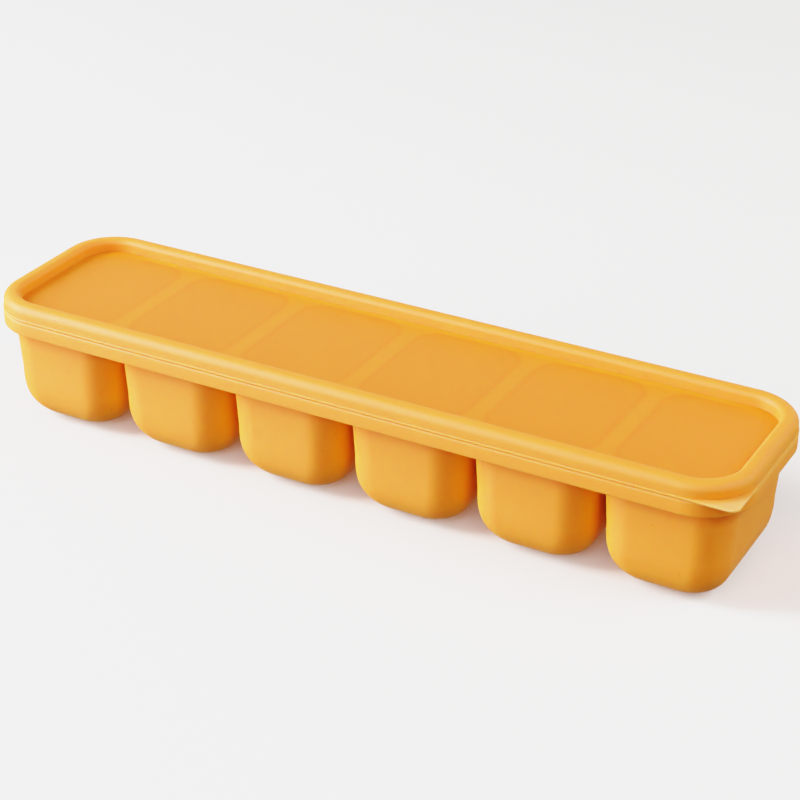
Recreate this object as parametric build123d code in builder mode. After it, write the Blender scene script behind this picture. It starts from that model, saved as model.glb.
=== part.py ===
from build123d import *
import os
from math import radians, sqrt, tan

# A tray of soft silicone for freezing baby food: six cups in one row under a press-on lid, which is
# peeled off by a tab at one corner. Millimetres, +Z up, the row of cups along X, the tab towards
# +X and -Y. The origin is on the table, under the middle of the tray.

# ------------------------------------------------------------------ driving dimensions
# The cups, measured outside, where they meet the underside of the rim.
CUP_COUNT = 6
CUP_LENGTH = 45.0  # along the row
CUP_WIDTH = 61.4  # across the row
CUP_DEPTH = 38.1  # from the table to the underside of the rim
CUP_GAP = 1.2  # between neighbours
CUP_CORNER = 12.0  # plan radius of the upright corners
CUP_DRAFT = 3.5  # degrees that each wall leans in
CUP_WALL = 2.6
CUP_FLOOR = 2.6
MOUTH_ROUND = 0.6  # the edge where a cup opens in the rim

# The soft curve from a cup's wall to its flat foot is a superellipse.
FOOT_REACH = 19.7  # how far up the wall it starts
FOOT_SQUARENESS = 2.87  # 2 is an ellipse, more is squarer
FOOT_SPREAD = 0.70  # the share of its run after which the foot is flat
CORNER_FADE = 0.35  # what the plan radius loses for each millimetre of inset
CORNER_LIMIT = 0.48  # the most that a corner may take of the narrower side
WALL_SECTIONS = 3
FOOT_SECTIONS = 8

# The rim that carries the cups, and the rib on it that the lid grips.
LEDGE_END = 4.5  # from the last cup out to the rim's face
LEDGE_SIDE = 5.65  # the same along the two long sides
RIM_HEIGHT = 5.3
RIM_CORNER = 19.4
RIM_ROUND = 0.7
RIB_WIDTH = 2.6
RIB_HEIGHT = 4.4
RIB_ROUND = 1.1

# The ring of stiff wire that the rim is moulded round.
WIRE_DIAMETER = 2.4
WIRE_BED = 0.05  # play between the wire and the silicone

# The lid: a hollow bead pressed over the rib, a thin lip outside it and a flat panel inside it.
LID_SEAT = 0.3  # from the rim up to the lid
LID_PLAY = 0.3  # between the rib and the channel in the bead, on each side and above
BEAD_WALL = 1.4
BEAD_OUTER_ROUND = 3.2
BEAD_INNER_ROUND = 1.6
CHANNEL_ROUND = 1.1
PANEL_THICKNESS = 1.3
PANEL_EDGE_ROUND = 0.8  # where the panel turns up into the bead
LIP_THICKNESS = 0.8
LIP_STEP = 0.25  # how far the lip stands out past the bead

# The pull tab: the lip carried on to a square corner, bending just outside the rounded one.
TAB_GAP = 0.3  # between the lid and the tab's round root
TAB_TIP_ROUND = 3.0

# ------------------------------------------------------------------ levels and places
cup_pitch = CUP_LENGTH + CUP_GAP
rim_length = CUP_COUNT * cup_pitch - CUP_GAP + 2 * LEDGE_END
rim_width = CUP_WIDTH + 2 * LEDGE_SIDE
rim_top = CUP_DEPTH + RIM_HEIGHT
rib_top = rim_top + RIB_HEIGHT
wire_level = CUP_DEPTH + RIM_HEIGHT / 2
lid_base = rim_top + LID_SEAT
panel_top = lid_base + PANEL_THICKNESS
channel_roof = rib_top + LID_PLAY
channel_width = RIB_WIDTH + 2 * LID_PLAY
bead_top = channel_roof + BEAD_WALL
bead_width = channel_width + 2 * BEAD_WALL
rib_course = LIP_STEP + bead_width / 2  # inset of the rib's middle line from the rim's face
lean = tan(radians(CUP_DRAFT))


def rim_outline(inset, mode=Mode.ADD):
    """Draw the rounded rectangle that lies at an inset from the rim's face."""
    RectangleRounded(rim_length - 2 * inset, rim_width - 2 * inset, RIM_CORNER - inset, mode=mode)


def rim_band(level, width):
    """Sketch a band of a given width on both sides of the rib's course."""
    with BuildSketch(Plane.XY.offset(level)) as band:
        rim_outline(rib_course - width / 2)
        rim_outline(rib_course + width / 2, mode=Mode.SUBTRACT)
    return band.sketch


def wire_ring(diameter):
    """Make a round bar that follows the rib's course, inside the rim."""
    with BuildSketch(Plane.XY.offset(wire_level)) as course:
        rim_outline(rib_course)
    path = course.sketch.face().outer_wire()
    with BuildPart() as ring:
        with BuildSketch(Plane(origin=path @ 0, z_dir=path % 0)):
            Circle(diameter / 2)
        sweep(path=path)
    return ring.part


def foot_drop(share):
    """Say how far down the foot's curve has come after a share of its run."""
    return (1 - (1 - share) ** FOOT_SQUARENESS) ** (1 / FOOT_SQUARENESS)


def cup_sections(floor):
    """List height and inset from the rim down: a leaning wall, then the curve to a flat floor."""
    sections = []
    for i in range(WALL_SECTIONS):
        height = rim_top + (FOOT_REACH - rim_top) * i / WALL_SECTIONS
        sections.append((height, lean * (CUP_DEPTH - height)))
    foot_inset = lean * (CUP_DEPTH - FOOT_REACH)
    foot_height = FOOT_REACH - floor
    for i in range(FOOT_SECTIONS):
        share = FOOT_SPREAD * (i / (FOOT_SECTIONS - 1)) ** 2
        drop = foot_drop(share) / foot_drop(FOOT_SPREAD)
        sections.append((FOOT_REACH - foot_height * drop, foot_inset + foot_height * share))
    return sections


def cup_form(floor, wall):
    """Make the smooth solid of a cup: its outside where the wall is 0, else the space inside."""
    with BuildPart() as form:
        for height, inset in cup_sections(floor):
            length = CUP_LENGTH - 2 * (wall + inset)
            width = CUP_WIDTH - 2 * (wall + inset)
            corner = min(CUP_CORNER - wall - CORNER_FADE * inset, CORNER_LIMIT * min(length, width))
            with BuildSketch(Plane.XY.offset(height)):
                RectangleRounded(length, width, corner)
        loft()
    return form.part


# ------------------------------------------------------------------ tray
cup_outside = cup_form(0, 0)
cup_inside = cup_form(CUP_FLOOR, CUP_WALL)
wire_bed = wire_ring(WIRE_DIAMETER + 2 * WIRE_BED)

with BuildPart() as tray:
    with BuildSketch(Plane.XY.offset(CUP_DEPTH)):
        rim_outline(0)
    extrude(amount=RIM_HEIGHT)
    fillet(tray.faces().filter_by(Axis.Z).edges(), RIM_ROUND)
    extrude(rim_band(rim_top, RIB_WIDTH), amount=RIB_HEIGHT)
    fillet(tray.faces().sort_by(Axis.Z)[-1].edges(), RIB_ROUND)

    with GridLocations(cup_pitch, cup_pitch, CUP_COUNT, 1):
        add(cup_outside)
    with GridLocations(cup_pitch, cup_pitch, CUP_COUNT, 1):
        add(cup_inside, mode=Mode.SUBTRACT)
    land = tray.faces().filter_by_position(Axis.Z, rim_top, rim_top).sort_by(SortBy.AREA)[-1]
    fillet(land.inner_wires().edges(), MOUTH_ROUND)
    add(wire_bed, mode=Mode.SUBTRACT)

# ------------------------------------------------------------------ wire in the rim
with BuildPart() as rim_wire:
    add(wire_ring(WIRE_DIAMETER))

# ------------------------------------------------------------------ lid
# At the tab, the lip goes out to a straight edge that touches the rim's rounded corner.
corner_x = rim_length / 2 - RIM_CORNER
corner_y = RIM_CORNER - rim_width / 2
corner_cut = RIM_CORNER * (sqrt(2) - 1)

with BuildPart() as lid:
    with BuildSketch(Plane.XY.offset(lid_base)):
        rim_outline(LIP_STEP)
    extrude(amount=PANEL_THICKNESS)
    extrude(rim_band(lid_base, bead_width), amount=bead_top - lid_base)
    fillet(lid.faces().sort_by(Axis.Z)[-1].outer_wire().edges(), BEAD_OUTER_ROUND)
    fillet(lid.faces().sort_by(Axis.Z)[-1].inner_wires()[0].edges(), BEAD_INNER_ROUND)
    fillet(lid.edges().filter_by_position(Axis.Z, panel_top, panel_top), PANEL_EDGE_ROUND)

    with BuildSketch(Plane.XY.offset(lid_base)):
        rim_outline(0)
        with Locations((corner_x, corner_y)):
            Polygon(
                (0, 0),
                (0, -RIM_CORNER),
                (corner_cut, -RIM_CORNER),
                (RIM_CORNER, -corner_cut),
                (RIM_CORNER, 0),
                align=None,
            )
    extrude(amount=LIP_THICKNESS)

    channel = rim_band(lid_base, channel_width)
    extrude(channel, amount=channel_roof - lid_base, mode=Mode.SUBTRACT)
    fillet(lid.edges().filter_by_position(Axis.Z, channel_roof, channel_roof), CHANNEL_ROUND)

# ------------------------------------------------------------------ pull tab
# Its own plane looks out through the corner, from the middle of the corner's rounding.
tab_plane = Plane(origin=(corner_x, corner_y, lid_base), x_dir=(1, -1, 0), z_dir=(0, 0, 1))
tab_tip = RIM_CORNER * sqrt(2)
tab_root = RIM_CORNER + TAB_GAP + LIP_THICKNESS / 2
tab_half = tab_tip - tab_root
hinge_plane = Plane(
    origin=tab_plane.from_local_coords((tab_root, 0, LIP_THICKNESS / 2)), z_dir=tab_plane.y_dir
)

with BuildPart() as pull_tab:
    with BuildSketch(tab_plane):
        Polygon((tab_root, -tab_half), (tab_tip, 0), (tab_root, tab_half), align=None)
    extrude(amount=LIP_THICKNESS)
    tip_edge = pull_tab.edges().filter_by(Axis.Z).sort_by(Axis((0, 0, 0), (1, -1, 0)))[-1]
    fillet(tip_edge, TAB_TIP_ROUND)
    with BuildSketch(hinge_plane):
        Circle(LIP_THICKNESS / 2)
    extrude(amount=tab_half - LIP_THICKNESS / 2, both=True)

# ------------------------------------------------------------------ files
os.makedirs("parts", exist_ok=True)
tray.part.label = "tray"
rim_wire.part.label = "rim_wire"
lid.part.label = "lid"
pull_tab.part.label = "pull_tab"
export_step(tray.part, "parts/tray.step")
export_step(rim_wire.part, "parts/rim_wire.step")
export_step(lid.part, "parts/lid.step")
export_step(pull_tab.part, "parts/pull_tab.step")
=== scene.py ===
# %% [markdown]
# # A silicone tray for freezing baby food
# The real thing is two soft mouldings in one warm orange: a tray of six cups that hang from a
# thick rim, and a lid with a hollow bead that presses over a rib on that rim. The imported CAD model
# is the frame. It fixes every size and says what moves, and this script dresses it with finer
# surfaces.

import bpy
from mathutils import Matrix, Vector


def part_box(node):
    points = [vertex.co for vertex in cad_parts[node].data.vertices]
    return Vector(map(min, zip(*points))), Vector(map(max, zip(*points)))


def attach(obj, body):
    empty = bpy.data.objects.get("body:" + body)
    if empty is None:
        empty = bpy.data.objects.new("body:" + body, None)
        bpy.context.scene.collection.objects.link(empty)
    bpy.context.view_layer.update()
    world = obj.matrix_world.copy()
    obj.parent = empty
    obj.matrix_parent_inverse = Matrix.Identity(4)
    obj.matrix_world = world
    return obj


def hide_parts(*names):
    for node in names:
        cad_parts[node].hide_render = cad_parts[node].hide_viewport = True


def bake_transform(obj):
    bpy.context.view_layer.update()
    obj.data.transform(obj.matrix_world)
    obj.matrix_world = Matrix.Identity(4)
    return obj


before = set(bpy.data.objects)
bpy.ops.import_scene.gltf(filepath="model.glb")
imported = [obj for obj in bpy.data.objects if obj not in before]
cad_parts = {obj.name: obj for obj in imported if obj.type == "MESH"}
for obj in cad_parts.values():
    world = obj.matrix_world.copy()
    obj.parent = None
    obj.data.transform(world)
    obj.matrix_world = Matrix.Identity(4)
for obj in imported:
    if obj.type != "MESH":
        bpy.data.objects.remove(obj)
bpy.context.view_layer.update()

# %% [markdown]
# ## Units and sizes
# A mould maker works in millimetres, so every piece is drawn in them and made metres at the end.
# The boxes round the frame's tray and lid give the outer sizes. A box doesn't show the cups'
# pitch, or the roundings that a mould has on each of its edges, so those are stated where they are
# first used.

# %% Sizes
from collections import namedtuple
from math import ceil, cos, pi, radians, sin, sqrt, tan

import bmesh
import bpy
from mathutils import Matrix, Vector

MM = 0.001
NEAR = 0.001  # two places count as one when they are closer than this, in millimetres

tray_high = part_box("tray")[1] / MM
lid_low, lid_high = (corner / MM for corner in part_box("lid"))
rim_half_length, rim_half_width, rib_top = tray_high
lid_base, bead_top = lid_low.z, lid_high.z
print(f"rim {2 * rim_half_length:.1f} x {2 * rim_half_width:.1f} mm, rib to {rib_top:.1f}")
print(f"lid from {lid_base:.1f} to {bead_top:.1f} mm")

# %% [markdown]
# ## The camera
# The view is a long lens from the front right, a little above. It is set before anything is built,
# because it decides which edges need the most care. Its three axes are worked out from two angles,
# then turned by the small roll of a camera that isn't held quite level.

# %% Camera
AZIMUTH, ELEVATION, ROLL = radians(27.892), radians(28.014), radians(0.794)
DISTANCE, LENS = 710.94, 97.568
HALF_PIXEL = 0.5 / 800  # as a share of the frame's width
AIM = Vector((21.55, -26.16, 46.30))

back = Vector((sin(AZIMUTH) * cos(ELEVATION), -cos(AZIMUTH) * cos(ELEVATION), sin(ELEVATION)))
side = Vector((cos(AZIMUTH), sin(AZIMUTH), 0))
level_axes = Matrix((side, back.cross(side), back)).transposed()
axes = (level_axes @ Matrix.Rotation(ROLL, 3, "Z")).to_4x4()

camera = bpy.data.objects.new("camera", bpy.data.cameras.new("camera"))
camera.data.lens = LENS
camera.data.shift_x, camera.data.shift_y = -HALF_PIXEL, HALF_PIXEL
camera.data.clip_start = 0.01
camera.matrix_world = Matrix.Translation((AIM + DISTANCE * back) * MM) @ axes
bpy.context.scene.collection.objects.link(camera)
bpy.context.scene.camera = camera
print("camera at", [round(v, 4) for v in camera.location])

# %% [markdown]
# ## A section with rounded corners
# Both mouldings are one section carried round a rounded rectangle. A section is a wire of corners,
# each with the rounding that the mould gives it. The bevel operator could round a wire, but it
# limits each rounding by its neighbours, so a tangent arc is laid into each corner instead.

# %% Rounded sections
ARC_STEP = radians(11)


def tangent_arc(here, before, after, rounding):
    """List the points of an arc that touches both arms of a corner."""
    before, after = (before - here).normalized(), (after - here).normalized()
    half = before.angle(after) / 2
    middle = here + (before + after).normalized() * rounding / sin(half)
    first, last = (here + way * rounding / tan(half) - middle for way in (before, after))
    turn = pi - 2 * half
    steps = max(2, ceil(turn / ARC_STEP))
    shares = [turn * k / steps for k in range(steps + 1)]
    return [middle + (first * sin(turn - s) + last * sin(s)) / sin(turn) for s in shares]


def section(*corners):
    """List the points of a section from corners given as (inset, level, rounding)."""
    places = [Vector(corner[:2]) for corner in corners]
    points = []
    for i, (*_, rounding) in enumerate(corners):
        if rounding:
            points += tangent_arc(places[i], places[i - 1], places[i + 1], rounding)
        else:
            points.append(places[i])
    return points


# %% [markdown]
# ## The rim's section
# It runs from the rim's underside, out to the thick band, over the fine parting line where the two
# halves of the mould met, up and over the rib and down to the land between the cups. The rib has a
# generous round on top, because the lid has to find its way over it. Each step could be an
# extrusion of its own, but in one section all the roundings stand together and are easy to
# compare.

# %% The rim's section
CUP_DEPTH, RIM_TOP, RIM_ROUND = 38.1, 43.4, 0.7
RIB_OUTER, RIB_INNER, RIB_ROUND, RIB_ROOT = 1.95, 4.55, 1.1, 0.35
PARTING_LEVEL, PARTING_DEPTH, PARTING_HALF, PARTING_ROUND = 42.35, 0.05, 0.12, 0.08
UNDERSIDE_INSET, LAND_INSET = 2.2, 5.2
STRIP = 0.6  # the width of the flat strip between a section's last corner and a filled face

rim_section = section(
    (UNDERSIDE_INSET + STRIP, CUP_DEPTH, 0),
    (UNDERSIDE_INSET, CUP_DEPTH, 0),
    (0, CUP_DEPTH, RIM_ROUND),
    (0, PARTING_LEVEL - PARTING_HALF, PARTING_ROUND),
    (PARTING_DEPTH, PARTING_LEVEL, PARTING_ROUND),
    (0, PARTING_LEVEL + PARTING_HALF, PARTING_ROUND),
    (0, RIM_TOP, RIM_ROUND),
    (RIB_OUTER, RIM_TOP, RIB_ROOT),
    (RIB_OUTER, rib_top, RIB_ROUND),
    (RIB_INNER, rib_top, RIB_ROUND),
    (RIB_INNER, RIM_TOP, RIB_ROOT),
    (LAND_INSET, RIM_TOP, 0),
)
print("rim section:", len(rim_section), "points")

# %% [markdown]
# ## Carrying a section round the rim
# The corners of the rim all turn about the same four middles, whatever the inset, so the section
# is spun a quarter turn about each of them and extruded along each straight side. A ring of
# extruded rectangles scaled one by one would also do, but the spin keeps the corners truly round.

# %% Sweep round the rim
RIM_CORNER = 19.4
CORNER_TURN = ((90, 28),)  # degrees of turn and the steps they take


def only(kind, geometry):
    """Pick the vertices, edges or faces out of an operator's result."""
    return [g for g in geometry if isinstance(g, kind)]


def on_end(edge, point):
    """Say whether an edge lies at a section point's level and inset."""
    x, y, z = (edge.verts[0].co + edge.verts[1].co) / 2
    inset = min(rim_half_length - abs(x), rim_half_width - abs(y))
    return abs(z - point.y) < NEAR and inset > point.x - NEAR


def sweep_rim(bm, points, front_right=CORNER_TURN):
    """Spin and extrude a section round the rim. Return the edges at its first and last point."""
    mid_x, mid_y = rim_half_length - RIM_CORNER, rim_half_width - RIM_CORNER
    start = [bm.verts.new((rim_half_length - p.x, -mid_y, p.y)) for p in points]
    wire = [bm.edges.new(pair) for pair in zip(start, start[1:])]
    sides = (
        ((0, 2 * mid_y), (mid_x, mid_y), CORNER_TURN),
        ((-2 * mid_x, 0), (-mid_x, mid_y), CORNER_TURN),
        ((0, -2 * mid_y), (-mid_x, -mid_y), CORNER_TURN),
        ((2 * mid_x, 0), (mid_x, -mid_y), front_right),
    )
    for run, middle, turns in sides:
        fresh = bmesh.ops.extrude_edge_only(bm, edges=wire)["geom"]
        bmesh.ops.translate(bm, vec=(*run, 0), verts=only(bmesh.types.BMVert, fresh))
        wire = only(bmesh.types.BMEdge, fresh)
        for degrees, steps in turns:
            tip = only(bmesh.types.BMVert, fresh) + wire
            fresh = bmesh.ops.spin(
                bm, geom=tip, cent=(*middle, 0), axis=(0, 0, 1), angle=radians(degrees), steps=steps
            )["geom_last"]
            wire = only(bmesh.types.BMEdge, fresh)
    bmesh.ops.remove_doubles(bm, verts=bm.verts, dist=NEAR)
    open_edges = [e for e in bm.edges if e.is_boundary]
    return [[e for e in open_edges if on_end(e, p)] for p in (points[0], points[-1])]


# %% The rim
tray_bm = bmesh.new()
underside, land = sweep_rim(tray_bm, rim_section)
print("rim:", len(tray_bm.faces), "faces,", len(underside), "and", len(land), "open edges")

# %% [markdown]
# ## Outlines that change as they rise
# A cup's corners get tighter towards its foot, so its rings don't share their middles. A square
# plate with bevelled corners gives the first ring. Each further ring is extruded from the last,
# and its four corners are scaled and moved to their places on the new outline.

# %% Rings
Outline = namedtuple("Outline", "half_length half_width corner level")
CUP_STEPS = 18  # round each corner of a cup


def plate(bm, outline):
    """Make a flat face with rounded corners."""
    bmesh.ops.create_grid(bm, x_segments=1, y_segments=1, size=1)
    bmesh.ops.scale(bm, vec=(outline.half_length, outline.half_width, 1), verts=bm.verts)
    bmesh.ops.translate(bm, vec=(0, 0, outline.level), verts=bm.verts)
    bmesh.ops.bevel(
        bm, geom=bm.verts[:], offset=outline.corner, offset_type="OFFSET", affect="VERTICES",
        segments=CUP_STEPS, profile=0.5, material=-1, clamp_overlap=False,
    )


def corner_middle(outline, x_sign, y_sign):
    """Give the place that one corner of an outline turns about."""
    x, y = outline.half_length - outline.corner, outline.half_width - outline.corner
    return Vector((x_sign * x, y_sign * y, outline.level))


def raise_ring(bm, old, new):
    """Extrude the open edge of a shell, and move its four corners from one outline to the next."""
    rim = [e for e in bm.edges if e.is_boundary]
    fresh = only(bmesh.types.BMVert, bmesh.ops.extrude_edge_only(bm, edges=rim)["geom"])
    scale = Matrix.Diagonal((new.corner / old.corner,) * 2 + (1, 1))
    for signs in ((-1, -1), (-1, 1), (1, -1), (1, 1)):
        away = Matrix.Translation(-corner_middle(old, *signs))
        home = Matrix.Translation(corner_middle(new, *signs))
        quarter = [v for v in fresh if v.co.x * signs[0] > 0 and v.co.y * signs[1] > 0]
        bmesh.ops.transform(bm, matrix=home @ scale @ away, verts=quarter)


# %% [markdown]
# ## One cup, outside and inside
# The wall leans in a little so that the frozen food slips out, then a soft squarish curve brings
# it to a small flat foot. The same rule with the wall's thickness taken off gives the inside. The
# rings lie closest where the curve turns, because that is where a facet would catch the light. A
# subdivision surface could round a plain box much like this, but it would blur the lean and the
# corners, so each ring is stated.

# %% The cup's rule
CUP_LENGTH, CUP_WIDTH, CUP_CORNER = 45.0, 61.4, 12.0
CORNER_FADE = 0.35  # what a corner's radius loses for each millimetre of inset
CORNER_LIMIT = 0.48  # the most that a corner may take of the narrower side
LEAN = tan(radians(3.5))
WALL_LEVELS = (24.0, 31.0)  # of two rings between the foot's curve and the mouth
FOOT_REACH, FOOT_SQUARENESS = 19.7, 2.87  # a squareness of 2 is an ellipse
FOOT_SPREAD = 0.70  # the share of the curve's run after which the foot is flat
FOOT_RINGS = 26


def foot_drop(share):
    """Say how far down the foot's curve has come after a share of its run."""
    return (1 - (1 - share) ** FOOT_SQUARENESS) ** (1 / FOOT_SQUARENESS)


def cup_rows(floor, top):
    """List the inset and level of a cup's rings from its floor to its top."""
    height = FOOT_REACH - floor
    rows = []
    for i in range(FOOT_RINGS, -1, -1):
        share = FOOT_SPREAD * (i / FOOT_RINGS) ** 2
        drop = foot_drop(share) / foot_drop(FOOT_SPREAD)
        rows.append((LEAN * (CUP_DEPTH - FOOT_REACH) + height * share, FOOT_REACH - height * drop))
    return rows + [(LEAN * (CUP_DEPTH - level), level) for level in (*WALL_LEVELS, top)]


# %% A cup's outlines
def cup_outlines(wall, floor, top):
    """List a cup's outlines from its floor to its top."""
    outlines = []
    for inset, level in cup_rows(floor, top):
        half_length = CUP_LENGTH / 2 - wall - inset
        half_width = CUP_WIDTH / 2 - wall - inset
        corner = min(CUP_CORNER - wall - CORNER_FADE * inset, CORNER_LIMIT * 2 * half_length)
        outlines.append(Outline(half_length, half_width, corner, level))
    return outlines


foot = cup_outlines(0, 0, CUP_DEPTH)[0]
print(f"foot: {2 * foot.half_length:.1f} x {2 * foot.half_width:.1f} mm")

# %% [markdown]
# ## The cup's mouth
# Both the outside and the inside end in a small round that runs out into a flat face of the rim:
# the throat under the rim, and the mouth that food goes in by. A narrow flat band outside the
# round keeps its shading clean, because the big flat face beyond it is filled with long thin
# triangles.

# %% A flared edge
GUARD = 0.12  # width of the flat band round a mouth
FLARE_STEPS = 5


def flare(outline, rounding):
    """Round a cup's top edge outwards into a flat face, and lay the narrow flat band round it."""
    turns = [pi / 2 * k / FLARE_STEPS for k in range(1, FLARE_STEPS + 1)]
    rings = [(rounding * (1 - cos(turn)), rounding * sin(turn)) for turn in turns]
    rings.append((rounding + GUARD, rounding))
    *sizes, level = outline
    return [Outline(*(size + out for size in sizes), level + up) for out, up in rings]


# %% Cup shells
CUP_WALL, CUP_FLOOR = 2.6, 2.6
MOUTH_ROUND, THROAT_ROUND = 0.6, 0.35
FOOT_MARGIN = 1.0  # from the foot's first ring in to the plate


def cup_shell(wall, floor, level, rounding):
    """Make one open cup in a mesh of its own, with a flared top edge at a level."""
    outlines = cup_outlines(wall, floor, level - rounding)
    outlines += flare(outlines[-1], rounding)
    *sizes, low = outlines[0]
    outlines.insert(0, Outline(*(size - FOOT_MARGIN for size in sizes), low))
    shell = bmesh.new()
    plate(shell, outlines[0])
    for old, new in zip(outlines, outlines[1:]):
        raise_ring(shell, old, new)
    mesh = bpy.data.meshes.new("cup")
    shell.to_mesh(mesh)
    shell.free()
    print(f"cup shell: {len(outlines)} rings up to {level:.1f} mm, {len(mesh.vertices)} vertices")
    return mesh


cup_outside = cup_shell(0, 0, CUP_DEPTH, THROAT_ROUND)
cup_inside = cup_shell(CUP_WALL, CUP_FLOOR, RIM_TOP, MOUTH_ROUND)

# %% [markdown]
# ## The tray's skin
# Six cups are set into the rim at one pitch, twice: their outsides open into the rim's underside
# and their insides into the land. Cutting the cups out with a boolean would also do, but then the
# roundings have to be bevelled afterwards. Here each face with six holes is filled between its
# edge loops.

# %% Cups in a row
CUP_COUNT, CUP_PITCH = 6, 46.2


def set_cups(bm, mesh):
    """Place a copy of a cup at each step of the row. Return the edges of their mouths."""
    mouths = []
    for i in range(CUP_COUNT):
        known = set(bm.verts)
        bm.from_mesh(mesh)
        cup = [v for v in bm.verts if v not in known]
        bmesh.ops.translate(bm, vec=((i - (CUP_COUNT - 1) / 2) * CUP_PITCH, 0, 0), verts=cup)
        mouths += {e for v in cup for e in v.link_edges if e.is_boundary}
    return mouths


def fill(bm, edges):
    """Fill a flat face between its outer edge and the holes in it."""
    bmesh.ops.triangle_fill(bm, use_beauty=True, use_dissolve=False, edges=edges)


# %% Tray
def finish_mesh(bm, name):
    """Turn a mesh that was drawn in millimetres into a smooth object in metres."""
    bmesh.ops.recalc_face_normals(bm, faces=bm.faces)
    bmesh.ops.scale(bm, vec=(MM,) * 3, verts=bm.verts)
    open_edges = sum(e.is_boundary for e in bm.edges)
    print(f"{name}: {len(bm.verts)} vertices, {len(bm.faces)} faces, {open_edges} open edges")
    print(f"{name}: {bm.calc_volume(signed=True) * 1e6:.1f} ml of silicone")
    mesh = bpy.data.meshes.new(name)
    bm.to_mesh(mesh)
    bm.free()
    mesh.shade_smooth()
    piece = bpy.data.objects.new(name, mesh)
    bpy.context.scene.collection.objects.link(piece)
    return piece


fill(tray_bm, underside + set_cups(tray_bm, cup_outside))
fill(tray_bm, land + set_cups(tray_bm, cup_inside))
tray_skin = finish_mesh(tray_bm, "tray_skin")

# %% [markdown]
# ## The lid's skin
# The lid's section runs from the panel's underside, round the channel that the rib fills, out to
# the thin lip, up the bead's slightly waisted side, over its crest and down to the panel. The
# corner of the sweep where the tab will be gets finer steps, because its edge is going to be drawn
# out. It could be a bevelled copy of the frame's lid, but one swept section gives even rows all
# round, and those bend and shade well.

# %% The lid's section
PANEL_TOP, PANEL_INSET = 45.0, 8.8
LIP_TOP, LIP_EDGE = 44.5, 0.2
CHANNEL_OUTER, CHANNEL_INNER, CHANNEL_ROUND, CHANNEL_MOUTH = 1.65, 4.85, 1.1, 0.3
CHANNEL_ROOF = rib_top + 0.3
BEAD_WAIST, BEAD_OUTER, BEAD_OUTER_ROUND = 0.35, 0.25, 2.9
BEAD_INNER, BEAD_FOOT, BEAD_INNER_ROUND = 6.35, 6.45, 2.0
WAIST_ROUND, FOOT_ROUND = 0.1, 0.15

lid_section = section(
    (PANEL_INSET + STRIP, lid_base, 0),
    (PANEL_INSET, lid_base, 0),
    (CHANNEL_INNER, lid_base, CHANNEL_MOUTH),
    (CHANNEL_INNER, CHANNEL_ROOF, CHANNEL_ROUND),
    (CHANNEL_OUTER, CHANNEL_ROOF, CHANNEL_ROUND),
    (CHANNEL_OUTER, lid_base, CHANNEL_MOUTH),
    (0, lid_base, LIP_EDGE),
    (0, LIP_TOP, LIP_EDGE),
    (BEAD_WAIST, LIP_TOP, WAIST_ROUND),
    (BEAD_OUTER, bead_top, BEAD_OUTER_ROUND),
    (BEAD_INNER, bead_top, BEAD_INNER_ROUND),
    (BEAD_FOOT, PANEL_TOP, FOOT_ROUND),
    (PANEL_INSET, PANEL_TOP, 0),
    (PANEL_INSET + STRIP, PANEL_TOP, 0),
)
print("lid section:", len(lid_section), "points")

# %% Lid
TAB_TURN = ((38, 18), (14, 28), (38, 18))  # finer across the tab's tip

lid_bm = bmesh.new()
under_panel, over_panel = sweep_rim(lid_bm, lid_section, TAB_TURN)
fill(lid_bm, under_panel)
fill(lid_bm, over_panel)
print("lid:", len(lid_bm.faces), "faces before the tab is drawn out")

# %% [markdown]
# ## The pull tab
# Where the tab is, the lip's two flat faces are cut into rows, so that it can bend there without
# creasing. A spoke is a line out from the middle of the rounded corner, and an edge is cut where
# it crosses a flat face along a spoke. A separate tab would need a seam that opens when it bends.

# %% Rows across the lip
TAB_ROWS = 24
TAB_HALF_ANGLE = pi / 4
SPOKE_SLACK = 0.02  # millimetres that an edge's ends may be off
ANGLE_SLACK, END_SLACK = 0.001, 0.01  # radians off the spoke, and short of the tab's two ends
tab_middle = Vector((rim_half_length - RIM_CORNER, RIM_CORNER - rim_half_width))
lip_flats = {  # the level of each flat face, with the insets that it lies between
    LIP_TOP: (BEAD_WAIST - WAIST_ROUND, LIP_EDGE),
    lid_base: (CHANNEL_OUTER - CHANNEL_MOUTH, LIP_EDGE),
}


def spoke(v):
    """Give a vertex's distance from the tab corner's middle and its angle from the diagonal."""
    way = v.co.xy - tab_middle
    return way.length, way.angle_signed(Vector((1, -1)), 0)


def crosses_flat(edge, level, insets):
    """Say whether an edge crosses one of the lip's flat faces along a spoke."""
    (near, a), (far, b) = sorted(spoke(v) for v in edge.verts)
    flat = all(abs(v.co.z - level) < SPOKE_SLACK for v in edge.verts)
    along = abs(a - b) < ANGLE_SLACK and abs(a) < TAB_HALF_ANGLE - END_SLACK
    off_ends = (abs(RIM_CORNER - inset - end) for end, inset in zip((near, far), insets))
    return flat and along and all(off < SPOKE_SLACK for off in off_ends)


# %% Cutting the rows
for level, insets in lip_flats.items():
    crossing = [e for e in lid_bm.edges if crosses_flat(e, level, insets)]
    print(f"lip at {level:.1f}: {len(crossing)} spokes")
    bmesh.ops.subdivide_edges(lid_bm, edges=crossing, cuts=TAB_ROWS, use_grid_fill=True)

# %% [markdown]
# ## Drawing the tab out
# Each row is moved out along its spokes by its share of the way, until the lip's edge lies on a
# nearly square corner with a rounded tip. Scaling the corner would do for a round tab, but not for
# a square one.

# %% The tab's edge
TAB_TIP_ROUND = 3.0


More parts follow.
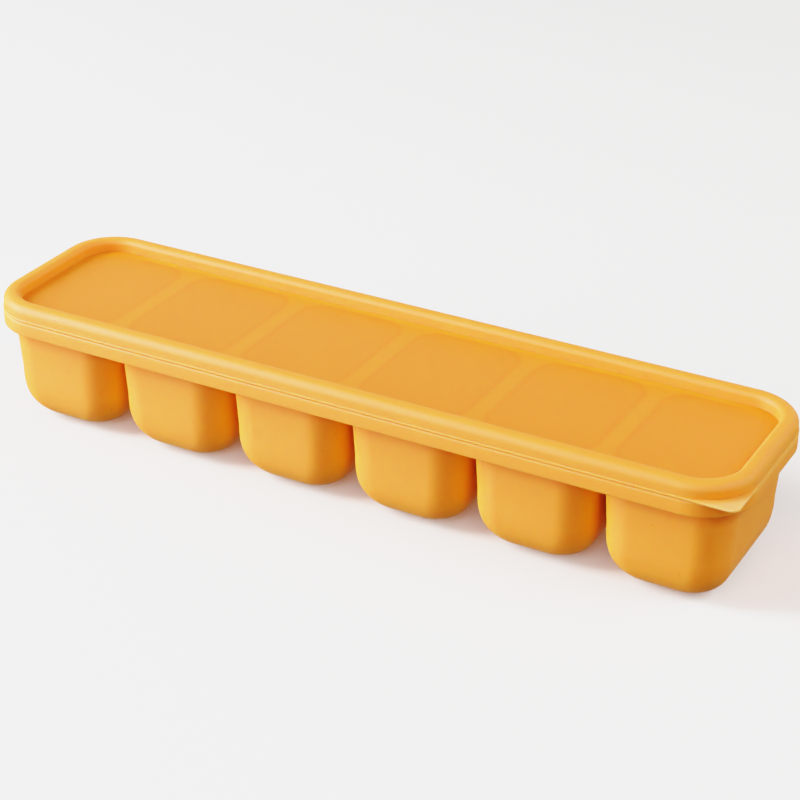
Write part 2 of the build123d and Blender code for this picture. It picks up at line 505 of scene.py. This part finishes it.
def tab_reach(angle):
    """Say how far the tab's edge is from the corner's middle along a spoke."""
    tip = (RIM_CORNER - TAB_TIP_ROUND) * sqrt(2)
    touch = Vector((RIM_CORNER, RIM_CORNER - TAB_TIP_ROUND)).angle(Vector((1, 0)))
    if abs(angle) < TAB_HALF_ANGLE - touch:
        return tip * cos(angle) + sqrt(TAB_TIP_ROUND ** 2 - (tip * sin(angle)) ** 2)
    return RIM_CORNER / cos(TAB_HALF_ANGLE - abs(angle))


# %% The tab's shape
for v in lid_bm.verts:
    distance, angle = spoke(v)
    if abs(angle) > TAB_HALF_ANGLE or v.co.z > LIP_TOP + NEAR:
        continue
    root, edge = lip_flats[LIP_TOP if v.co.z > (LIP_TOP + lid_base) / 2 else lid_base]
    share = min(max((distance - RIM_CORNER + root) / (root - edge), 0), 1)
    out = share * (tab_reach(angle) - RIM_CORNER)
    v.co.xy += (v.co.xy - tab_middle).normalized() * out

print(f"tab tip: {tab_reach(0) - RIM_CORNER:.1f} mm out from the rim's round corner")
lid_skin = finish_mesh(lid_bm, "lid_skin")

# %% [markdown]
# ## Wiring nodes
# Every finish here is a tree of nodes. Placing and linking them one by one takes a line each, so
# two helpers do it: one empties a tree, the other adds a node with its values and links in one
# call.

# %% Node helpers
def node_tree(owner):
    """Empty the tree of a material or a world and hand it back."""
    owner.use_nodes = True
    owner.node_tree.nodes.clear()
    return owner.node_tree


def connect(tree, socket, source):
    """Link an output to a socket, or set the socket to a plain value."""
    if isinstance(source, bpy.types.NodeSocket):
        tree.links.new(source, socket)
    else:
        socket.default_value = source


def add_node(tree, kind, links=(), **values):
    """Add a node, set its properties by name, and connect its inputs."""
    node = tree.nodes.new(kind)
    for name, value in values.items():
        setattr(node, name, value)
    for socket, source in dict(links).items():
        connect(tree, node.inputs[socket], source)
    return node


def new_group(name, *masks):
    """Make an empty node group that takes a place and puts out masks. Return both its ends too."""
    group = bpy.data.node_groups.new(name, "ShaderNodeTree")
    group.interface.new_socket("Vector", in_out="INPUT", socket_type="NodeSocketVector")
    for mask in masks:
        group.interface.new_socket(mask, in_out="OUTPUT", socket_type="NodeSocketFloat")
    place = group.nodes.new("NodeGroupInput").outputs["Vector"]
    return group, place, group.nodes.new("NodeGroupOutput").inputs


# %% Sums and patterns
def maths(tree, operation, *values):
    """Add one sum and hand back its result."""
    return add_node(tree, "ShaderNodeMath", enumerate(values), operation=operation).outputs[0]


def weighted(tree, one, share, other, other_share):
    """Add two values, each times its own share."""
    one, other = maths(tree, "MULTIPLY", one, share), maths(tree, "MULTIPLY", other, other_share)
    return maths(tree, "ADD", one, other)


def noise(tree, vector, scale, detail=2.0, rough=0.5):
    """Add a noise and hand back its value."""
    links = {"Vector": vector, "Scale": scale, "Detail": detail, "Roughness": rough}
    return add_node(tree, "ShaderNodeTexNoise", links).outputs["Fac"]


def ramp(tree, value, low, high):
    """Rise smoothly from 0 to 1 while a value goes from low to high."""
    links = {"Value": value, "From Min": low, "From Max": high}
    smooth = add_node(tree, "ShaderNodeMapRange", links, interpolation_type="SMOOTHSTEP")
    return smooth.outputs["Result"]


# %% [markdown]
# ## The moulded face
# The mould is blasted matt, so the rubber copies a grain too fine to count, over a very soft
# waviness. Here and there a pinhole or a grain of dust is caught in it. A fine noise and a soft
# one make the height, a broad one mottles the colour, and a Voronoi pattern with most of its cells
# left out makes the pinholes. Real displacement would need millions of faces for a grain this
# fine, so the height is a bump.

# %% Moulded face
GRAIN_SCALE, RIPPLE_SCALE, SWELL_SCALE, CELL_SCALE = 2600.0, 420.0, 60.0, 300.0
GRAIN_HEIGHT, RIPPLE_HEIGHT = 0.35, 0.6
SWELL_MOTTLE, RIPPLE_MOTTLE = 0.6, 0.4
PINHOLE_RIM, PINHOLE_CORE = 0.12, 0.06  # as shares of a cell
CELLS_LEFT_OUT = 0.86

face_tree, vector, face_out = new_group("moulded_face", "Height", "Mottle", "Pinholes")
grain = noise(face_tree, vector, GRAIN_SCALE, detail=3.0, rough=0.6)
ripple = noise(face_tree, vector, RIPPLE_SCALE)
swell = noise(face_tree, vector, SWELL_SCALE)

links = {"Vector": vector, "Scale": CELL_SCALE}
cells = add_node(face_tree, "ShaderNodeTexVoronoi", links).outputs
drawn = add_node(face_tree, "ShaderNodeSeparateColor", {"Color": cells["Color"]}).outputs["Red"]
kept = maths(face_tree, "GREATER_THAN", drawn, CELLS_LEFT_OUT)
dot = ramp(face_tree, cells["Distance"], PINHOLE_RIM, PINHOLE_CORE)
pinhole = maths(face_tree, "MULTIPLY", dot, kept)

relief = weighted(face_tree, grain, GRAIN_HEIGHT, ripple, RIPPLE_HEIGHT)
height = maths(face_tree, "SUBTRACT", relief, pinhole)
mottle = weighted(face_tree, swell, SWELL_MOTTLE, ripple, RIPPLE_MOTTLE)
for name, value in (("Height", height), ("Mottle", mottle), ("Pinholes", pinhole)):
    connect(face_tree, face_out[name], value)
print("moulded face:", len(face_tree.nodes), "nodes")

# %% [markdown]
# ## Outlines drawn by nodes
# The panel is thin, so what lies under it shows. A rounded rectangle can be drawn by nodes alone:
# the distance from it is a sum of the place's own coordinates, so it needs no image texture.

# %% Distance from an outline
def beyond_outline(tree, along, across, outline):
    """Measure how far a place lies outside a rounded rectangle. Inside it the answer is below 0."""
    half_length, half_width, corner = outline
    past_x = maths(tree, "SUBTRACT", along, (half_length - corner) * MM)
    past_y = maths(tree, "SUBTRACT", across, (half_width - corner) * MM)
    past = {"X": maths(tree, "MAXIMUM", past_x, 0.0), "Y": maths(tree, "MAXIMUM", past_y, 0.0)}
    past = add_node(tree, "ShaderNodeCombineXYZ", past).outputs["Vector"]
    outside = add_node(tree, "ShaderNodeVectorMath", {0: past}, operation="LENGTH").outputs["Value"]
    inside = maths(tree, "MINIMUM", maths(tree, "MAXIMUM", past_x, past_y), 0.0)
    return maths(tree, "SUBTRACT", maths(tree, "ADD", outside, inside), corner * MM)


# %% [markdown]
# ## What is painted through the lid
# The panel is painted with the light and shade that would show through it: the land under it makes
# it lighter and yellower, and each cup's mouth is a soft darker outline. Along the sides the panel's
# edge gets a painted yellow reflection of the bead, and at the two ends a deeper painted shade. One
# mouth is measured, and the place along the row is wrapped at the cups' pitch, so it repeats.

# %% Show-through
MOUTH_OUTLINE = (19.3, 26.0, 8.0)  # half length, half width and corner
PANEL_OUTLINE = (133.1, 26.95, 12.0)
MOUTH_BLUR = 1.7
LAND_FADE, MARGIN_FADE = (-0.5, 2.2), (26.4, 28.0)  # out from a mouth, and across the tray
END_FADE, EDGE_FADE = (112, 124), (-2.6, -0.6)  # along the tray, and out from the panel


def fade(value, ends):
    """Rise smoothly from 0 to 1 between two places given in millimetres."""
    return ramp(through_tree, value, *(end * MM for end in ends))


through_tree, vector, through_out = new_group("painted_show_through", "Mouth", "Land", "Margin", "End")
place = add_node(through_tree, "ShaderNodeSeparateXYZ", {"Vector": vector}).outputs
from_middle = maths(through_tree, "ABSOLUTE", place["X"])
across = maths(through_tree, "ABSOLUTE", place["Y"])
step = maths(through_tree, "WRAP", place["X"], CUP_PITCH * MM, 0.0)
step = maths(through_tree, "SUBTRACT", step, CUP_PITCH * MM / 2)
from_cup_middle = maths(through_tree, "ABSOLUTE", step)

from_mouth = beyond_outline(through_tree, from_cup_middle, across, MOUTH_OUTLINE)
from_edge = beyond_outline(through_tree, from_middle, across, PANEL_OUTLINE)
line = fade(maths(through_tree, "ABSOLUTE", from_mouth), (MOUTH_BLUR, 0))
end = maths(through_tree, "MULTIPLY", fade(from_middle, END_FADE), fade(from_edge, EDGE_FADE))
connect(through_tree, through_out["Mouth"], line)
connect(through_tree, through_out["Land"], fade(from_mouth, LAND_FADE))
connect(through_tree, through_out["Margin"], fade(across, MARGIN_FADE))
connect(through_tree, through_out["End"], end)
print("show-through:", len(through_tree.nodes), "nodes")

# %% [markdown]
# ## The silicone's colours
# Silicone is a clear rubber with a little pigment: light enters it, wanders a few millimetres and
# comes out redder, so thin edges glow and deep corners turn to a burnt orange. Scattering gives
# part of that. The rest is painted light and shade, a handful of colours that masks lay over each
# other from the base upwards.

# %% Colours
ORANGE = (0.93, 0.25, 0.016, 1)
# Painted light and shade laid by masks: a highlight on thin edges, light through the walls, shade
# under the rim
PALE, LIT_THROUGH, DEEP = (0.97, 0.38, 0.13, 1), (0.98, 0.33, 0.012, 1), (0.82, 0.13, 0.001, 1)
MOTTLED, SPECK = (0.86, 0.15, 0.005, 1), (0.45, 0.08, 0.005, 1)
MOTTLE_SHARE, SPECK_SHARE = 0.16, 0.5
# Painted show-through on the panel: light off the land, shade in the mouths, a reflection of the
# bead along the sides, shade at the ends
OVER_CUP = (0.72, 0.178, 0.004, 1)
OVER = {  # what shows through the panel, from the bottom layer up
    "Land": (0.76, 0.202, 0.005, 1),
    "Margin": (0.78, 0.240, 0.007, 1),
    "Mouth": (0.74, 0.160, 0.002, 1),
    "End": (0.76, 0.192, 0.0, 1),
}
ON_MESH = {"painted_highlight": PALE, "lit_through": LIT_THROUGH, "painted_rim_shade": DEEP}
print("colours by mask:", ", ".join((*OVER, *ON_MESH)))

# %% Layers of colour
def mix_colour(tree, share, below, above):
    """Mix two colours by a share and hand back the result."""
    node = add_node(tree, "ShaderNodeMix", data_type="RGBA")
    shares, colours = node.inputs["Factor"], [s for s in node.inputs if s.type == "RGBA"]
    for socket, source in zip((shares, *colours), (share, below, above)):
        connect(tree, socket, source)
    return next(s for s in node.outputs if s.type == "RGBA")


def layered(tree, place, face, over_cups):
    """Lay the masks' painted light and shade, then mottle and specks, over the silicone's own."""
    colour = ORANGE
    if over_cups:
        colour = OVER_CUP
        through = add_node(tree, "ShaderNodeGroup", node_tree=through_tree)
        connect(tree, through.inputs["Vector"], place)
        for mask, above in OVER.items():
            colour = mix_colour(tree, through.outputs[mask], colour, above)
    for mask, above in ON_MESH.items():
        share = add_node(tree, "ShaderNodeAttribute", attribute_name=mask).outputs["Fac"]
        colour = mix_colour(tree, share, colour, above)
    mottle = maths(tree, "MULTIPLY", face["Mottle"], MOTTLE_SHARE)
    specks = maths(tree, "MULTIPLY", face["Pinholes"], SPECK_SHARE)
    return mix_colour(tree, specks, mix_colour(tree, mottle, colour, MOTTLED), SPECK)


# %% [markdown]
# ## The silicone itself
# Subsurface scattering gives the glow, and red wanders furthest. A rough gloss with a trace of
# sheen gives the bloom on every shoulder, and the moulded face breaks both up a little. The tray
# is thicker than the lid, so light reaches further into it. A plain diffuse shader would look like
# painted plaster.

# %% Silicone materials
TRAY_REACH, LID_REACH = 6, 4  # millimetres that light wanders
GLOSS = 0.7
LEAST_ROUGH, ROUGH_SPREAD = 0.56, 0.10
RELIEF = {"Strength": 0.2, "Distance": 0.0002}


def silicone(name, reach, over_cups=False):
    """Make the orange silicone. Light reaches a number of millimetres into it."""
    material = bpy.data.materials.new(name)
    tree = node_tree(material)
    place = add_node(tree, "ShaderNodeTexCoord").outputs["Object"]
    face = add_node(tree, "ShaderNodeGroup", node_tree=face_tree)
    connect(tree, face.inputs["Vector"], place)
    face = face.outputs
    rough = maths(tree, "MULTIPLY", face["Mottle"], ROUGH_SPREAD)
    bump = add_node(tree, "ShaderNodeBump", {"Height": face["Height"], **RELIEF})
    body = add_node(tree, "ShaderNodeBsdfPrincipled", {
        "Base Color": layered(tree, place, face, over_cups),
        "Roughness": maths(tree, "ADD", rough, LEAST_ROUGH),
        "IOR": 1.5,
        "Specular IOR Level": GLOSS,
        "Subsurface Weight": 1.0,
        "Subsurface Radius": (1.0, 0.6, 0.12),
        "Subsurface Scale": reach * MM,
        "Sheen Weight": 0.06,
        "Sheen Roughness": 0.3,
        "Normal": bump.outputs["Normal"],
    })
    add_node(tree, "ShaderNodeOutputMaterial", {"Surface": body.outputs["BSDF"]})
    print(f"{name}: {len(tree.nodes)} nodes")
    return material


# %% Tray and lid materials
tray_skin.data.materials.append(silicone("tray silicone", TRAY_REACH))
lid_skin.data.materials.append(silicone("lid silicone", LID_REACH))
lid_skin.data.materials.append(silicone("lid panel silicone", LID_REACH, over_cups=True))

# %% [markdown]
# ## The panel's own material
# Only the flat panel lies close over the cups, so only its faces get the material with the
# painted show-through. They are found by their level and how far in they are.

# %% Panel faces
PANEL_EDGE = 7.0  # how far in from the rim's face the panel starts
FLAT = 0.01  # how far off its level a flat face may lie


def on_panel(face):
    """Say whether a face of the lid belongs to the panel's top."""
    x, y, z = face.center / MM
    inset = min(rim_half_length - abs(x), rim_half_width - abs(y))
    return abs(z - PANEL_TOP) < FLAT and inset > PANEL_EDGE


for face in lid_skin.data.polygons:
    face.material_index = int(on_panel(face))
print("panel faces:", sum(face.material_index for face in lid_skin.data.polygons))

# %% [markdown]
# ## Masks on the mesh
# A mask says for each point of a mesh how much of a colour it gets. Painting it by hand would be
# slow and would have to be done again for each change, so a rule works it out from the point's
# place and the way it faces, and it is stored as an attribute that the material reads.

# %% Marking
def mark(piece, name, rule):
    """Store a mask on each point of a piece, from its place in millimetres and the way it faces."""
    layer = piece.data.attributes.new(name, "FLOAT", "POINT")
    for v, value in zip(piece.data.vertices, layer.data):
        value.value = rule(v.co / MM, v.normal)
    marked = sum(value.value > 0 for value in layer.data)
    print(f"{piece.name} {name}: {marked} of {len(layer.data)} points")


def ease(value, low, high):
    """Rise smoothly from 0 to 1 while a value goes from low to high."""
    share = min(max((value - low) / (high - low), 0), 1)
    return share * share * (3 - 2 * share)


def edge_inset(place):
    """Say how far a place is in from the rim's straight faces and its round corners."""
    x, y = rim_half_length - abs(place.x), rim_half_width - abs(place.y)
    if max(x, y) > RIM_CORNER:
        return min(x, y)
    return RIM_CORNER - (Vector((x, y)) - Vector((RIM_CORNER, RIM_CORNER))).length


# %% [markdown]
# ## Painted highlights on thin edges
# The pull tab is less than a millimetre of silicone, and light comes through it, so it gets the
# strongest painted highlight, the palest place of all. The lip's edge and the rim's top edge get a
# little of the same painted highlight, which draws the two fine light lines along the side.

# %% Painted highlights on thin edges
LIP_PALE, TAB_PALE, RIM_PALE = 0.22, 0.85, 0.2
LIP_BAND = 0.22  # how far in from its edge the lip is pale
TAB_START, TAB_FADE = -0.1, 3.5  # where the tab starts to pale, and over what distance
RIM_DROP, RIM_BAND = 0.55, 0.5


def lid_painted_highlight(place, way):
    """Paint a highlight: pale on the pull tab, and a little along the lip's edge."""
    if not lid_base - NEAR <= place.z <= LIP_TOP + NEAR:
        return 0
    out = -edge_inset(place)
    lip = LIP_PALE if out > -LIP_BAND else 0
    return min(max(lip, (out - TAB_START) / TAB_FADE), TAB_PALE)


def tray_painted_highlight(place, way):
    """Paint a little highlight along the rim's top edge."""
    return RIM_PALE if place.z > RIM_TOP - RIM_DROP and edge_inset(place) < RIM_BAND else 0


mark(lid_skin, "painted_highlight", lid_painted_highlight)
mark(tray_skin, "painted_highlight", tray_painted_highlight)

# %% [markdown]
# ## Light through the walls
# Where two cups face each other, and inside each cup, light has come through a wall or off its
# neighbour and is a clear saturated orange. Plain scattering leaves those places too dark, so a
# mask brightens their colour. It fades out deep in the gap, where no light gets.

# %% Lit walls
INSIDE_LIT, INSIDE_FADE = 0.8, 12
FACES_UP = 0.02
GAP_DARK, GAP_LIT = 13, 22  # distance from the row's middle line
SIDEWAYS = (0.45, 0.95)  # how squarely a wall has to face its neighbour
OUTER_WALL = 20  # an outer wall is at most this far in from the rim's face


def from_cup(place):
    """Say how far along the row a place is from the middle of the nearest cup."""
    step = round(place.x / CUP_PITCH - 0.5)
    nearest = min(max(step, -CUP_COUNT // 2), CUP_COUNT // 2 - 1) + 0.5
    return place.x - nearest * CUP_PITCH


def faces_out(at, way, half):
    """Say whether a wall near one side of the tray faces away from the tray's middle."""
    return abs(at) > half - OUTER_WALL and at * way > 0


def lit_through(place, way):
    """Inside the cups, and where two cups face each other, light comes through the thin walls."""
    if place.z > CUP_DEPTH:
        return 0
    if way.z > FACES_UP:
        return INSIDE_LIT * ease(CUP_DEPTH - place.z, 0, INSIDE_FADE)
    if from_cup(place) * way.x <= 0 or faces_out(place.x, way.x, rim_half_length):
        return 0
    return ease(abs(way.x), *SIDEWAYS) * ease(abs(place.y), GAP_DARK, GAP_LIT)


mark(tray_skin, "lit_through", lit_through)

# %% [markdown]
# ## Painted shade under the rim
# Where the cups hang from the rim, the rim's overhang keeps light off the walls, so their last few
# millimetres are painted a deep orange shade. Darkening the whole corner by light alone would need
# black cards that other views would show.

# %% Nook
NOOK_DEEP, NOOK_START, NOOK_END = 0.8, 8, 2  # the last two are distances below the rim


def shade_under_rim(place, way):
    """Painted shade in the corner where the cups hang from the rim."""
    at_side = faces_out(place.y, way.y, rim_half_width)
    at_end = faces_out(place.x, way.x, rim_half_length)
    if not (at_side or at_end) or place.z > CUP_DEPTH + FLAT:
        return 0
    return NOOK_DEEP * ease(place.z, CUP_DEPTH - NOOK_START, CUP_DEPTH - NOOK_END)


mark(tray_skin, "painted_rim_shade", shade_under_rim)

# %% [markdown]
# ## The wire's steel
# Wire is drawn through a die, which leaves fine streaks along it and a dull grey skin. The ring
# lies flat, so a noise that is squeezed in height alone makes streaks that follow it all the way
# round.

# %% Steel
STREAK_SCALE, DULL_SCALE = (60.0, 60.0, 6000.0), 150.0
DULL_STEEL, BRIGHT_STEEL = (0.52, 0.51, 0.50, 1), (0.66, 0.66, 0.67, 1)
STEEL_ROUGH, STREAK_ROUGH = 0.22, 0.2

steel = bpy.data.materials.new("rim wire steel")
tree = node_tree(steel)
place = add_node(tree, "ShaderNodeTexCoord").outputs["Object"]
squeezed = add_node(tree, "ShaderNodeMapping", {"Vector": place, "Scale": STREAK_SCALE})
streaks = noise(tree, squeezed.outputs["Vector"], scale=1.0, detail=3.0)
rough = maths(tree, "MULTIPLY", streaks, STREAK_ROUGH)
links = {"Height": streaks, "Strength": 0.3, "Distance": 0.00005}
scratched = add_node(tree, "ShaderNodeBump", links)
body = add_node(tree, "ShaderNodeBsdfPrincipled", {
    "Base Color": mix_colour(tree, noise(tree, place, DULL_SCALE), DULL_STEEL, BRIGHT_STEEL),
    "Metallic": 1.0,
    "Roughness": maths(tree, "ADD", rough, STEEL_ROUGH),
    "Normal": scratched.outputs["Normal"],
})
add_node(tree, "ShaderNodeOutputMaterial", {"Surface": body.outputs["BSDF"]})
for wire_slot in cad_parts["rim_wire"].material_slots:
    wire_slot.material = steel
print(f"steel: {len(tree.nodes)} nodes")

# %% [markdown]
# ## The floor
# The tray stands on plain pale paper. Real paper would throw light back up and tint the walls, so
# this floor is seen but lights nothing, and the low cards below do that work where it can be
# steered.

# %% Floor
FLOOR_HALF = 6  # metres
PAPER = (0.9, 0.9, 0.9, 1)

floor_bm = bmesh.new()
bmesh.ops.create_grid(floor_bm, x_segments=1, y_segments=1, size=FLOOR_HALF)
floor_mesh = bpy.data.meshes.new("floor")
floor_bm.to_mesh(floor_mesh)
floor_bm.free()
floor = bpy.data.objects.new("floor", floor_mesh)
bpy.context.scene.collection.objects.link(floor)
for rays in ("diffuse", "glossy", "transmission", "shadow"):
    setattr(floor, "visible_" + rays, False)

paper = bpy.data.materials.new("pale floor")
tree = node_tree(paper)
body = add_node(tree, "ShaderNodeBsdfDiffuse", {"Color": PAPER})
add_node(tree, "ShaderNodeOutputMaterial", {"Surface": body.outputs["BSDF"]})
floor_mesh.materials.append(paper)
print(f"floor: {2 * FLOOR_HALF} m square")

# %% [markdown]
# ## The lights
# Matt rubber shows its shape only by how light fades over it, so large soft boxes stand all round.
# The two keys are on the left, fills at the front and right keep the shadows open, a backdrop
# draws the pale line on the far bead, and two cards below the floor lift the undersides.

# %% Lights
def softbox(name, azimuth, elevation, distance, size, watts, colour=(1, 1, 1)):
    """Hang a square softbox that faces the tray. Azimuth 0 is in front of it, 90 to its right."""
    light = bpy.data.lights.new(name, "AREA")
    light.shape = "RECTANGLE"
    light.size, light.size_y = size
    light.energy, light.color = watts, colour
    box = bpy.data.objects.new(name, light)
    a, e = radians(azimuth), radians(elevation)
    way = Vector((sin(a) * cos(e), -cos(a) * cos(e), sin(e)))
    box.location = way * distance
    box.rotation_euler = way.to_track_quat("Z", "Y").to_euler()
    bpy.context.scene.collection.objects.link(box)


WARM = (1, 0.9, 0.84)
softbox("key", -62, 24, 1.4, (0.35, 0.35), 10.5)
softbox("high key", -62, 38, 1.4, (0.45, 0.45), 12)
softbox("front card", -52, 8, 1.15, (0.8, 0.4), 10)
softbox("low card", -40, -42, 1.15, (0.8, 0.6), 1.6)
softbox("front fill", 15, 30, 1.4, (0.8, 0.8), 5.5)
softbox("front right fill", 50, 45, 1.4, (0.8, 0.8), 1.5)
softbox("right fill", 98, 40, 1.4, (0.8, 0.8), 10.5, WARM)
softbox("right card", 115, -12, 1.4, (0.8, 0.5), 0.8)
softbox("backdrop", 160, 25, 1.8, (1.6, 1.0), 5.2)
softbox("back left", 220, 25, 1.6, (0.9, 0.9), 1.5)
print(f"lights: {len(bpy.data.lights)}, {sum(light.energy for light in bpy.data.lights):.1f} W")

# %% [markdown]
# ## The air
# A little light from every side keeps the deepest places from going black. Seen directly, past the
# floor's edge, the same air is as pale as paper, so a low view has no black sky behind the tray.
# The paper itself still greys towards its far edge, where the softboxes hardly reach.

# %% World
AROUND, BEHIND = 0.18, 1.5
WHITE = (1, 1, 1, 1)


def air(strength):
    """Add white light of one strength from all sides."""
    links = {"Color": WHITE, "Strength": strength}
    return add_node(tree, "ShaderNodeBackground", links).outputs["Background"]


world = bpy.data.worlds.new("studio")
bpy.context.scene.world = world
tree = node_tree(world)
seen = add_node(tree, "ShaderNodeLightPath").outputs["Is Camera Ray"]
mixed = add_node(tree, "ShaderNodeMixShader", {0: seen, 1: air(AROUND), 2: air(BEHIND)})
add_node(tree, "ShaderNodeOutputWorld", {"Surface": mixed.outputs["Shader"]})
print("air:", AROUND, "around and", BEHIND, "behind")

# %% [markdown]
# ## The film
# A camera answers light along a curve: dark places are lifted gently and bright ones roll off
# before they burn out, which keeps the lit shoulders of the orange from turning flat. Blender's
# own view transforms also wash strong oranges out, so the plain one is used with a curve of a few
# points.

# %% Film curve
FILM_WHITE = 3.0
FILM = (  # light in, light out
    (0.014, 0.005), (0.035, 0.025), (0.06, 0.065),
    (0.15, 0.22), (0.25, 0.37), (0.52, 0.63),
    (0.64, 0.70), (0.965, 0.84), (1.59, 0.90),
)
ALL_CHANNELS = 3  # the curve after those of red, green and blue

view = bpy.context.scene.view_settings
view.view_transform = "Standard"
view.use_curve_mapping = True
view.curve_mapping.white_level = (FILM_WHITE,) * 3
curve = view.curve_mapping.curves[ALL_CHANNELS]
for light_in, light_out in FILM:
    curve.points.new(light_in / FILM_WHITE, light_out)
view.curve_mapping.update()
print("film curve:", len(curve.points), "points")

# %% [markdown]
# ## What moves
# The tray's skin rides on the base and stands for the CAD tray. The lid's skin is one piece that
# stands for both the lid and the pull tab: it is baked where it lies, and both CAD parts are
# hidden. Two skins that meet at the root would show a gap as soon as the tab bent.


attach(tray_skin, "base")
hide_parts("tray")
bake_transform(lid_skin)
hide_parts("lid", "pull_tab")
